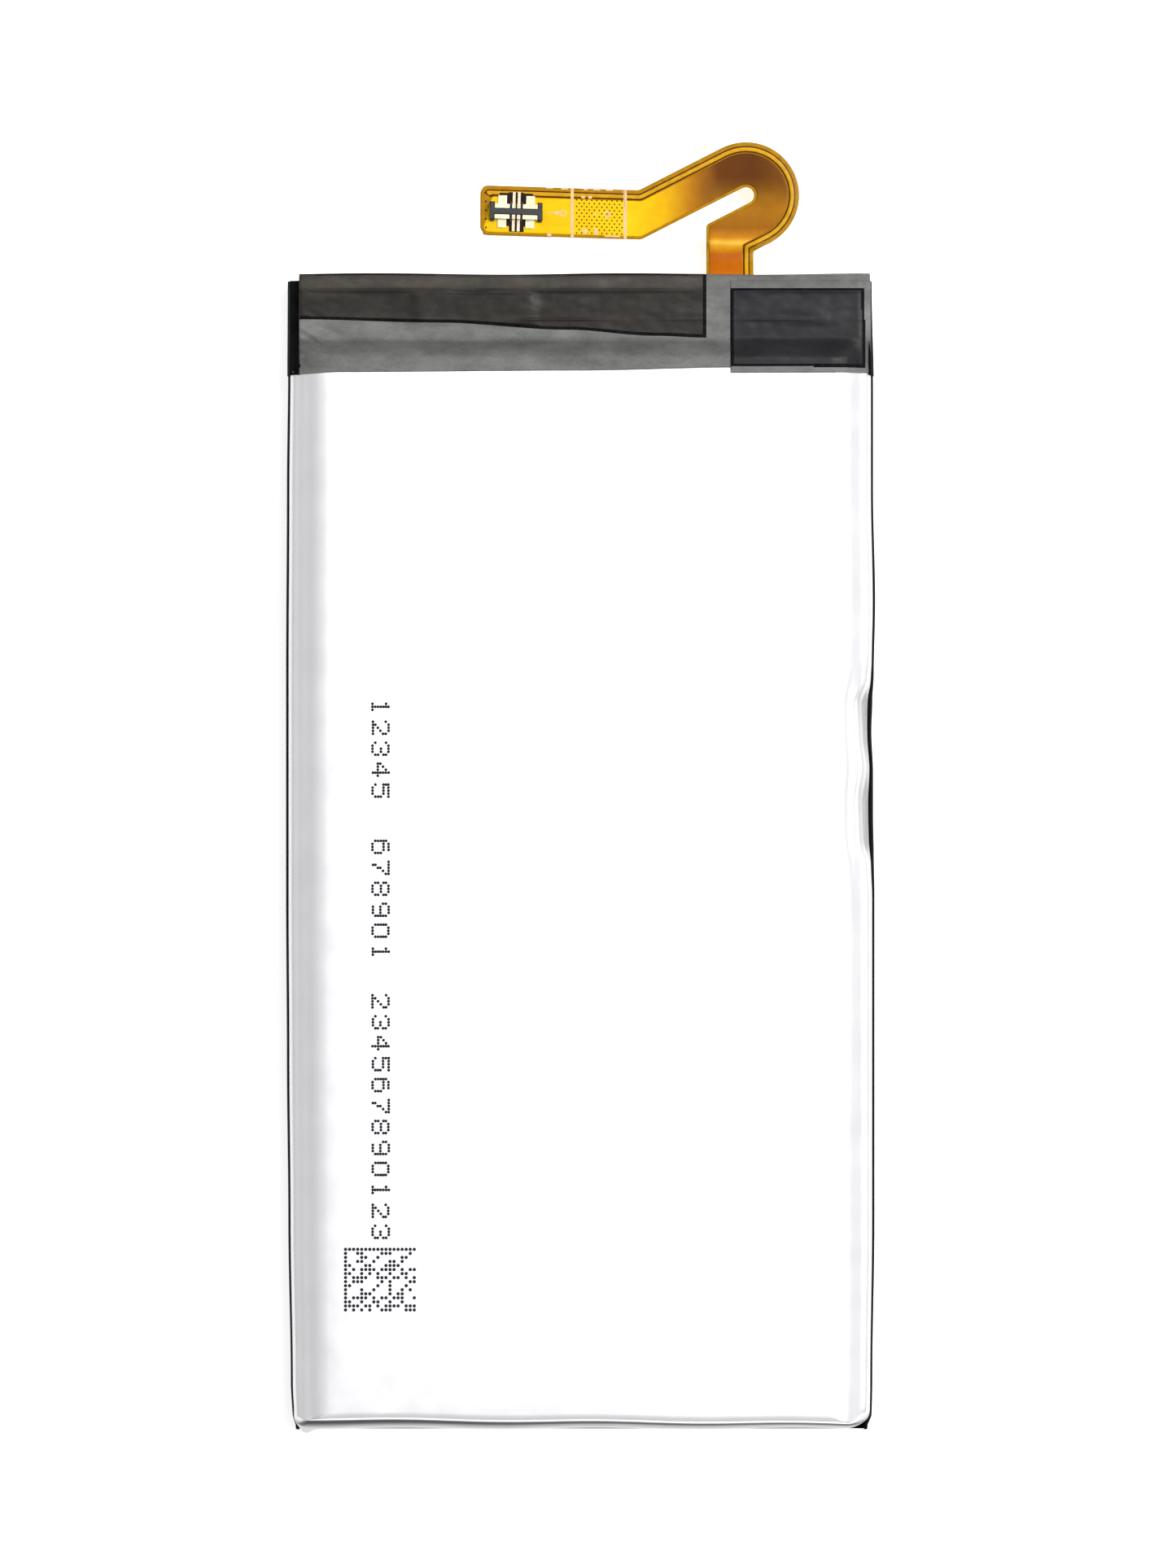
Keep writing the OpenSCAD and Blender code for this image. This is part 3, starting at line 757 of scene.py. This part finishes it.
def make_top_film():
    left_x, right_x = film_low.x / MM, film_high.x / MM + 0.2
    edge = smooth_line([(left_x, 34.42), (-17, 34.55), (0, 34.66), (11, 34.88), (right_x, 34.92)])
    grid = film_grid((left_x, right_x), edge, 0.05, 300, "back")

    def clear_of_neck(point):
        x, y, z = point
        return not (NECK_X[0] - 0.12 < x < NECK_X[1] + 0.12 and y > TOP_Y + 0.4 and 2.75 < z < 4.02)

    obj = slab("top_insulating_film", grid, 0.04, GREY_FILM, clear_of_neck)
    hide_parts("top_film")
    return obj


def make_strip_film():
    """The darker strip, laid on askew: its lower edge falls to the right."""
    left_x, right_x = film_low.x / MM + 0.02, NECK_X[0] - 0.02
    knots = [(left_x, 38.36), (-10, 38.12), (-1, 37.62), (right_x - 3.5, 37.18), (right_x, 37.05)]
    edge = smooth_line(knots)
    top_line = FILM_END_Y + 0.1
    grid = film_grid((left_x, right_x), edge, 0.10, 230, 0.5)
    obj = slab("dark_strip", grid, 0.035, DARK_FILM)
    obj.data.materials.append(FILM_EDGE_SHADOW)
    for polygon in obj.data.polygons:
        x, y = polygon.center.x / MM, polygon.center.y / MM
        # a painted shadow line along the strip's lower, right and top edges
        if min(y - edge(x), right_x - x, top_line - y) < EDGE_SHADOW_WIDTH:
            polygon.material_index = 1
    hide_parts("dark_strip_film")
    return obj


def make_corner_film():
    """The patch over the right corner, dark where it lies on the main film and grey past it."""
    left_x, right_x = 10.68, HALF_W - 0.3
    edge = smooth_line([(left_x, 34.5), (right_x, 34.52)])
    # the dark part's sides; the right one slants, about the height where it is level_y
    right_line, slant, level_y = HALF_W - 0.72, 0.02, 38
    low_line, high_line = 34.92, TOP_Y - 0.42
    grid = film_grid((left_x, right_x), edge, 0.10, 130)
    obj = slab("corner_patch", grid, 0.035, CORNER_FILM)
    obj.data.materials.append(GREY_FILM)
    obj.data.materials.append(FILM_EDGE_SHADOW)
    for polygon in obj.data.polygons:
        x, y = polygon.center.x / MM, polygon.center.y / MM
        right_gap = right_line - x - slant * (y - level_y)
        within = min(x - left_x, right_gap, y - low_line, high_line - y)
        # a painted shadow line round the dark part's edges
        if within < EDGE_SHADOW_WIDTH:
            polygon.material_index = 2
        if within < 0:
            polygon.material_index = 1
    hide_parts("corner_film")
    return obj


def make_edge_film(side):
    """Film that comes out from under the main film and turns down over the folded seal."""
    name = "left" if side < 0 else "right"
    reach = 0.98 if side < 0 else 0.42
    # distance in from the outline, and height: None lies on the shoulder
    path = [
        (reach, None), (0.75, None), (0.56, None), (0.42, None), (0.3, 4.56), (0.2, 4.2), (0.1, 3.8),
        (0.0, 3.3), (-0.03, 2.7), (-0.03, 2.0),
    ]
    path = [(d, z) for d, z in path if d <= reach]
    rows = np.linspace(34.38, TOP_Y + 0.12, 60)
    bow = right_bow if side > 0 else left_bow
    grid = []
    for y in rows:
        fall = 0.25 * ease((y - STEP[0]) / 2)
        row = []
        for d, z in path:
            height = side_height(d) + 0.03 if z is None else z
            z = height - fall * ease(height / 4) + 0.02 * math.sin(y * 5 + d * 3)
            row.append((side * (HALF_W + bow(y) - d), y, z))
        grid.append(row)
    obj = slab(name + "_side_film", np.array(grid), 0.04, BLACK_FILM)
    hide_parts(name + "_edge_film")
    return obj


# ---------------- print on the face

# Five-by-seven dot shapes of the ten digits, a row of five dots as a binary number
DIGITS = [
    (14, 17, 17, 17, 17, 17, 14), (4, 12, 4, 4, 4, 4, 14), (14, 17, 1, 2, 4, 8, 31),
    (14, 17, 1, 6, 1, 17, 14), (2, 6, 10, 18, 31, 2, 2), (31, 16, 30, 1, 1, 17, 14),
    (14, 16, 30, 17, 17, 17, 14), (31, 1, 2, 4, 4, 8, 8), (14, 17, 17, 14, 17, 17, 14),
    (14, 17, 17, 15, 1, 1, 14),
]
INK_PITCH = 1.493
DOT_STEP = (0.188, 0.215)
DIGIT_DOT_R = 0.115
SQUARE_DOT_R = 0.13
INK_HEIGHT = 0.035
PRINT_X = -14.25
# First character's place and number of characters of each group
GROUPS = [(10.7, 5), (0.72, 6), (-10.28, 12)]


def surface_at(x, y):
    return FACE_Z + float(face_relief(np.array([x]), np.array([y]))[0])


def digit_dots():
    """Running digits in dots. They read down the cell, their tops towards the right."""
    places = []
    number = 0
    for first_y, count in GROUPS:
        for k in range(count):
            number = (number + 1) % 10
            for row, bits in enumerate(DIGITS[number]):
                for column in range(5):
                    if bits >> (4 - column) & 1:
                        x = PRINT_X + (3 - row) * DOT_STEP[0] + 0.02 * math.sin(7 * row + 3 * k)
                        y = first_y - k * INK_PITCH + (2 - column) * DOT_STEP[1]
                        places.append((x, y, surface_at(x, y)))
    return places


def square_dots():
    """A square of dots that follows a plain rule, with two full sides."""
    columns, rows = 18, 16
    left, top, step = -16.75, -27.95, 0.288
    places = []
    for i in range(columns):
        for j in range(rows):
            border = i == 0 or j == 0
            pattern = (i * i + 3 * j + i * j) % 7 in (1, 2, 4) or (i + 2 * j) % 9 == 0
            if border or (pattern and (i + j) % 5 != 3):
                x, y = left + i * step, top - j * step
                places.append((x, y, surface_at(x, y)))
    return places


# ---------------- flexible tail

TURN_C = (NECK_X[0] + 2.84, 47.3)
TURN_R = 3.81
SLOT_R = 0.58
RUN = math.radians(27)
ARM_W = 3.54
ARM_Y = 45.9
ARM_SLOPE = math.tan(math.radians(1.8))
ARM_CORNER_R = 0.5
ROOT_Y = board_low.y / MM + 0.5
# the two printed lines across the arm, with the hatched bend between them
CUT_X = 3.17
ZONE_END = 2 * BEND_X - CUT_X


def side_line(side, inset, counts):
    """One long side of the tail, moved in by inset: side -1 is the inner, 1 the outer. counts is
    the number of points in the neck, the way to the turn, the turn, the run and the arm."""
    neck_count, lead_count, turn_count, run_count, arm_count = counts
    x0 = NECK_X[0] + inset if side < 0 else NECK_X[1] - inset
    r = SLOT_R + inset if side < 0 else TURN_R - inset
    start = np.array([TURN_C[0] + r * math.sin(RUN), TURN_C[1] - r * math.cos(RUN)])
    leave = np.array([TURN_C[0] - r * math.sin(RUN), TURN_C[1] + r * math.cos(RUN)])
    corner = np.array([x0, start[1] - (start[0] - x0) * math.tan(RUN)])
    edge_y = ARM_Y + side * (ARM_W / 2 - inset)
    elbow = np.array([leave[0] - (leave[1] - edge_y) / math.tan(RUN), edge_y])
    parts = [np.linspace((x0, ROOT_Y), corner, neck_count, endpoint=False)]
    parts.append(np.linspace(corner, start, lead_count, endpoint=False))
    angles = RUN - math.pi / 2 + np.linspace(0, math.pi, turn_count, endpoint=False)
    parts.append(np.stack([TURN_C[0] + r * np.cos(angles), TURN_C[1] + r * np.sin(angles)], 1))
    parts.append(np.linspace(leave, elbow, run_count, endpoint=False))
    t = np.linspace(0, 1, arm_count)
    x = elbow[0] + (ARM_END_X + inset - elbow[0]) * t
    y = edge_y + (elbow[0] - x) * ARM_SLOPE
    corner_r = max(ARM_CORNER_R - inset, 0.1)
    into = np.clip((ARM_END_X + inset + corner_r - x) / corner_r, 0, 1)
    y = y - side * corner_r * (1 - np.sqrt(1 - into * into))
    parts.append(np.stack([x, y], 1))
    line = np.concatenate(parts)
    # softens the corners between the straight stretches
    for _ in range(2):
        line[1:-1] = (line[:-2] + 2 * line[1:-1] + line[2:]) / 4
    return line


COUNTS = (64, 22, 56, 60, 110)
ARM_START = sum(COUNTS[:4])


def flex_height(x, y):
    """The tail's height: out of the slot, down to its rest level, and over the crease."""
    down = ease((y - TOP_Y - 0.25) / 1.5)
    z = (neck_high.z / MM - 0.08) * (1 - down) + FLEX_Z * down
    near_neck = ease((x - NECK_X[0] + 2) / 1.5) * ease((46 - y) / 1.2)
    crease = 0.17 * bump(y + 0.06 * (x - NECK_X[0]), FOLD_Y + 0.75, 0.34)
    crease = crease - 0.07 * bump(y, FOLD_Y - 0.05, 0.3)
    sway = 0.05 * wobble(x, y, 4, 3, 11) * ease((y - FOLD_Y - 1) / 2)
    return z + crease * near_neck + sway * ease((x - 4) / 2)


def flex_grid(inner_side, inner_inset, outer_side, outer_inset, columns, level, rows=slice(None)):
    """A strip of the tail between two lines that run along it."""
    a = side_line(inner_side, inner_inset, COUNTS)[rows]
    b = side_line(outer_side, outer_inset, COUNTS)[rows]
    t = np.linspace(0, 1, columns)[None, :, None]
    plan = a[:, None, :] * (1 - t) + b[:, None, :] * t
    x, y = plan[..., 0], plan[..., 1]
    rim = np.minimum(t[..., 0], 1 - t[..., 0]) * np.ones_like(x) * np.linalg.norm(b - a, axis=1)[:, None]
    z = flex_height(x, y) + level - 0.012 * (1 - ease(rim / 0.06))
    return np.stack([x, y, z], 2)


def split_at_cut(grid):
    """The strip's two lengths, which meet at the printed line across the arm."""
    mean_x = grid[..., 0].mean(1)
    row = next(i for i in range(ARM_START, len(grid)) if mean_x[i] < CUT_X)
    grid = grid.copy()
    grid[row, :, 0] = CUT_X
    return grid[: row + 1], grid[row:]


def flex_strip(name, grid, thickness, material, root_nodes, arm_nodes):
    """A layer of the tail as two pieces: one from the root over the crease, and one along the arm."""
    near, far = split_at_cut(grid)
    root = slab(name + "_root", near, thickness, material)
    arm = slab(name + "_arm", far, thickness, material)
    for obj, nodes in ((root, root_nodes), (arm, arm_nodes)):
        add_rest_map(obj)
        if nodes:
            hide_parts(*nodes)
    bend_root(root)
    bend_arm(arm)


def bend_root(obj):
    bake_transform(obj)


def bend_arm(obj):
    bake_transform(obj)


def arm_middle(x):
    return ARM_Y + (4.24 - x) * ARM_SLOPE


def arm_plate(name, pieces, level, thickness, material):
    """Thin plates on the arm. Each is (x from, x to, across from, across to) about the arm's middle."""
    points = []
    faces = []
    for x0, x1, c0, c1 in pieces:
        a = len(points)
        corners = ((x0, c0), (x1, c0), (x1, c1), (x0, c1))
        for z in (level - thickness, level):
            points += [(x, arm_middle(x) + c, FLEX_Z + z) for x, c in corners]
        faces += [(a + 3, a + 2, a + 1, a), (a + 4, a + 5, a + 6, a + 7)]
        faces += [(a + i, a + (i + 1) % 4, a + 4 + (i + 1) % 4, a + 4 + i) for i in range(4)]
    obj = new_mesh(name, points, faces, material)
    crisp(obj)
    return obj


FILM_TOP = 0.03
FILL_TOP = 0.058


def make_flex():
    flex_strip(
        "flex_film", flex_grid(-1, 0, 1, 0, 44, FILM_TOP), 0.1, FLEX_EDGE,
        ("neck_base_film", "neck_coverlay", "tail_base_film", "tail_coverlay"),
        ("arm_base_film", "arm_coverlay"),
    )
    flex_strip(
        "flex_gap", flex_grid(1, 0.8, 1, 0.22, 6, FILM_TOP + 0.006), 0.02, FLEX_GAP, (), (),
    )
    flex_strip(
        "flex_trace", flex_grid(1, 0.64, 1, 0.37, 6, FILL_TOP), 0.035, TRACE,
        ("tail_trace",), ("arm_trace",),
    )
    flex_strip(
        "flex_fill", flex_grid(-1, 0.2, 1, 0.8, 36, FILL_TOP), 0.035, FILL,
        ("neck_copper", "tail_copper"), ("arm_copper",),
    )


def ring_plate(centre, outer, inner, level, count=18):
    """Points and faces of a flat printed ring."""
    points = []
    for radius, z in ((outer, level - 0.01), (outer, level), (inner, level), (inner, level - 0.01)):
        for i in range(count):
            angle = 2 * math.pi * i / count
            x = centre[0] + radius * math.cos(angle)
            y = centre[1] + radius * math.sin(angle)
            points.append((x, y, FLEX_Z + z))
    faces = grid_faces(4, count, wrap=True)
    faces += [(3 * count + i, 3 * count + (i + 1) % count, (i + 1) % count, i) for i in range(count)]
    return points, faces


def make_arm_print():
    """Printed lines across the bend zone, small marks, and ink ticks along both edges."""
    level = FILL_TOP + 0.012
    half = ARM_W / 2
    line = (ZONE_END - 0.11, ZONE_END + 0.11, -half + 0.02, half - 0.02)
    ticks = [
        (-2.5, -2.0, half - 0.11, half - 0.02), (-1.4, -0.9, half - 0.13, half - 0.02),
        (0.2, 0.5, half - 0.13, half - 0.03), (0.9, 1.4, half - 0.13, half - 0.03),
        (1.8, 2.3, half - 0.13, half - 0.03), (-2.4, -2.1, -half + 0.03, -half + 0.24),
        (0.15, 0.45, -half + 0.3, -half + 0.65), (0.95, 1.2, -half + 0.25, -half + 0.7),
        (0.05, 0.3, half - 0.72, half - 0.54), (0.55, 0.8, half - 0.72, half - 0.54),
        (1.7, 2.8, -half + 0.12, -half + 0.22),
    ]
    obj = arm_plate("arm_print", [line] + ticks, level, 0.01, SILK)
    add_rest_map(obj)
    bend_arm(obj)
    line = (CUT_X - 0.1, CUT_X + 0.12, -half + 0.02, half - 0.02)
    tail_line = arm_plate("tail_print", [line], level + 0.002, 0.014, SILK)
    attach(tail_line, "tail")
    points = []
    faces = []
    for x, outer in ((1.9, 0.27), (-1.25, 0.25)):
        ring, ring_faces = ring_plate((x, arm_middle(x) - 0.05), outer, outer - 0.09, level)
        faces += [tuple(i + len(points) for i in f) for f in ring_faces]
        points += ring
    rings = new_mesh("arm_rings", points, faces, SILK)
    crisp(rings)
    bend_arm(rings)
    bars = [
        (-2.4, -1.9, -0.07, -0.02), (-1.9, -1.7, -0.14, 0.05), (-1.7, -1.55, -0.2, 0.1),
        (0.9, 1.2, -0.1, 0.02),
    ]
    bend_arm(arm_plate("arm_arrows", bars, level, 0.01, SILK))


def make_arm_dots():
    """The hatched copper of the bend zone, and the row of vias at the arm's end."""
    hatch = []
    for row in range(11):
        for column in range(10):
            x = ZONE_END + 0.32 + column * 0.36 + (row % 2) * 0.18
            across = -1.42 + row * 0.235
            if x < CUT_X - 0.2:
                hatch.append((x, arm_middle(x) + across, FLEX_Z + FILL_TOP))
    obj = dots("hatch_dots", hatch, 0.062, 0.006, FLEX_GAP)
    add_rest_map(obj)
    bend_arm(obj)
    vias = [(-6.78, arm_middle(-6.78) + c, FLEX_Z + FILL_TOP) for c in (1.25, 0.62, 0.0, -0.63, -1.24)]
    vias.append((-5.6, arm_middle(-5.6) + 1.45, FLEX_Z + FILL_TOP))
    obj = dots("via_dots", vias, 0.075, 0.012, FLEX_GAP, 12)
    add_rest_map(obj)
    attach(obj, "arm")


def make_connector_surroundings():
    """The opening in the cover film round the connector, with dark plates that paint the shadow in its
    gaps.
    """
    cx = HOUSING[0]
    level = FILL_TOP + 0.008
    bar = [
        (cx - 1.86, cx + 1.86, -0.34, 0.34), (cx - 1.88, cx - 1.52, -0.64, 0.64),
        (cx + 1.52, cx + 1.88, -0.64, 0.64),
    ]
    pads = [(cx - 1.2, cx - 0.5, -1.1, 1.27), (cx + 0.5, cx + 1.2, -1.1, 1.27)]
    signals = [(cx - 0.53, cx + 0.53, -1.5, 1.33)]
    # a little apart in height, so that no two upper faces coincide
    openings = (
        ("bar_opening", bar, 0), ("pad_openings", pads, -0.002), ("signal_opening", signals, 0.002),
    )
    for name, pieces, rise in openings:
        obj = arm_plate(name, pieces, level + rise, 0.012, OPENING_SHADOW)
        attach(obj, "arm")


# ---------------- materials of the CAD pieces


def paint_nodes():
    brushed = {"metallic": 1.0, "amount": 0.06, "depth": 0.003, "stretch": (0.1, 1, 1)}
    looks = {
        "anode_strip": simple_material("graphite", (0.020, 0.020, 0.022), 0.75, size=0.2, amount=0.4),
        "cathode_strip": simple_material("oxide", (0.012, 0.012, 0.014), 0.7, size=0.15, amount=0.4),
        "inner_separator": simple_material("separator", (0.88, 0.88, 0.86), 0.5, size=1.5, amount=0.04),
        "roll_closing_tape": simple_material("closing_tape", (0.42, 0.24, 0.06), 0.3, size=2.0),
        "positive_tab": simple_material("aluminium_foil", (0.80, 0.80, 0.82), 0.3, size=0.3, **brushed),
        "negative_tab": simple_material("nickel", (0.62, 0.60, 0.56), 0.32, size=0.3, **brushed),
        "positive_tab_sealant": simple_material("sealant", (0.80, 0.80, 0.78), 0.35, size=0.6, amount=0.05),
        "terrace_insulator": simple_material(
            "insulating_paper", (0.50, 0.42, 0.22), 0.7, size=0.4, amount=0.15,
        ),
        "board_foam_pad": simple_material(
            "foam", (0.03, 0.03, 0.035), 0.95, size=0.12, amount=0.5, depth=0.03,
        ),
        "protection_board": simple_material("board", (0.010, 0.075, 0.035), 0.3, size=0.6, amount=0.2),
        "protection_mosfets": simple_material("chip_body", (0.02, 0.02, 0.022), 0.5, size=0.1, amount=0.3),
        "chip_fuse": simple_material("chip_ceramic", (0.40, 0.28, 0.15), 0.45, size=0.3, amount=0.2),
        "tail_solder_joints": simple_material("solder", (0.60, 0.61, 0.63), 0.2, 1.0, 0.2, 0.08),
        "connector_stiffener": simple_material(
            "stiffener", (0.55, 0.55, 0.56), 0.35, 1.0, 0.2, 0.06, 0.002, (0.1, 1, 1),
        ),
        "connector_housing": simple_material(
            "connector_plastic", (0.034, 0.036, 0.040), 0.4, size=0.15, amount=0.25, specular=0.3,
        ),
        "power_contacts": simple_material("contact_plating", (0.90, 0.80, 0.55), 0.3, 0.35, 0.2, 0.08),
        "signal_contacts": simple_material("signal_plating", (0.80, 0.66, 0.48), 0.3, 0.35, 0.2, 0.1),
    }
    same = {
        "outer_separator": "inner_separator", "negative_tab_sealant": "positive_tab_sealant",
        "positive_weld_plate": "negative_tab", "negative_weld_plate": "negative_tab",
        "protection_ic": "protection_mosfets", "chip_resistors": "protection_mosfets",
        "thermistor": "chip_fuse", "chip_capacitors": "chip_fuse",
    }
    for node, other in same.items():
        looks[node] = looks[other]
    for node, material in looks.items():
        obj = frame["nodes"][node]
        obj.data.materials.clear()
        obj.data.materials.append(material)
    bevel_widths = {
        "connector_housing": 0.035, "power_contacts": 0.03, "signal_contacts": 0.02,
        "connector_stiffener": 0.05, "protection_mosfets": 0.06, "protection_ic": 0.05,
        "chip_fuse": 0.06, "protection_board": 0.04, "board_foam_pad": 0.15,
        "chip_resistors": 0.04, "chip_capacitors": 0.05, "thermistor": 0.05,
    }
    for node, width in bevel_widths.items():
        bevelled(frame["nodes"][node], width)


# ---------------- the object

for piece in (make_pouch_shell(), make_pouch_back(), make_terrace()):
    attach(piece, "cell")
for piece in (
    make_label(), make_top_film(), make_strip_film(), make_corner_film(),
    make_edge_film(-1), make_edge_film(1),
    dots("ink_digits", digit_dots(), DIGIT_DOT_R, INK_HEIGHT, INK),
    dots("ink_square", square_dots(), SQUARE_DOT_R, INK_HEIGHT, INK),
):
    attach(piece, "cell")
make_flex()
make_arm_print()
make_arm_dots()
make_connector_surroundings()
paint_nodes()

# ---------------- stage, lights and camera

VIEW_CENTRE = (0.52, 5.2)
VIEW_HEIGHT = 111.96
LENS = 200.0
SENSOR = 36.0


def make_stage():
    size = 900.0
    floor = new_mesh(
        "floor", [(-size, -size, -0.03), (size, -size, -0.03), (size, size, -0.03), (-size, size, -0.03)],
        [(0, 1, 2, 3)], floor_material(),
    )
    world = bpy.data.worlds.new("studio")
    world.use_nodes = True
    world.node_tree.nodes["Background"].inputs["Color"].default_value = (1, 1, 1, 1)
    world.node_tree.nodes["Background"].inputs["Strength"].default_value = 0.24
    bpy.context.scene.world = world
    bpy.context.scene.view_settings.view_transform = "Standard"


def add_light(name, place, target, size, power):
    """A square soft light; places in millimetres."""
    data = bpy.data.lights.new(name, "AREA")
    data.shape = "SQUARE"
    data.size = size * MM
    data.energy = power
    light = bpy.data.objects.new(name, data)
    bpy.context.scene.collection.objects.link(light)
    light.location = Vector(place) * MM
    aim = Vector(target) - Vector(place)
    light.rotation_mode = "QUATERNION"
    light.rotation_quaternion = aim.to_track_quat("-Z", "Y")


def make_camera():
    data = bpy.data.cameras.new("camera")
    data.lens = LENS
    data.sensor_width = SENSOR
    data.clip_start = 0.01
    data.clip_end = 10
    camera = bpy.data.objects.new("camera", data)
    bpy.context.scene.collection.objects.link(camera)
    distance = VIEW_HEIGHT * LENS / SENSOR
    camera.location = Vector((VIEW_CENTRE[0], VIEW_CENTRE[1], 4.0 + distance)) * MM
    bpy.context.scene.camera = camera


make_stage()
add_light("key", (330, 190, 760), (0, 0, 0), 420, 7.4)
add_light("fill", (-200, 420, 640), (0, 0, 0), 300, 0.6)
make_camera()
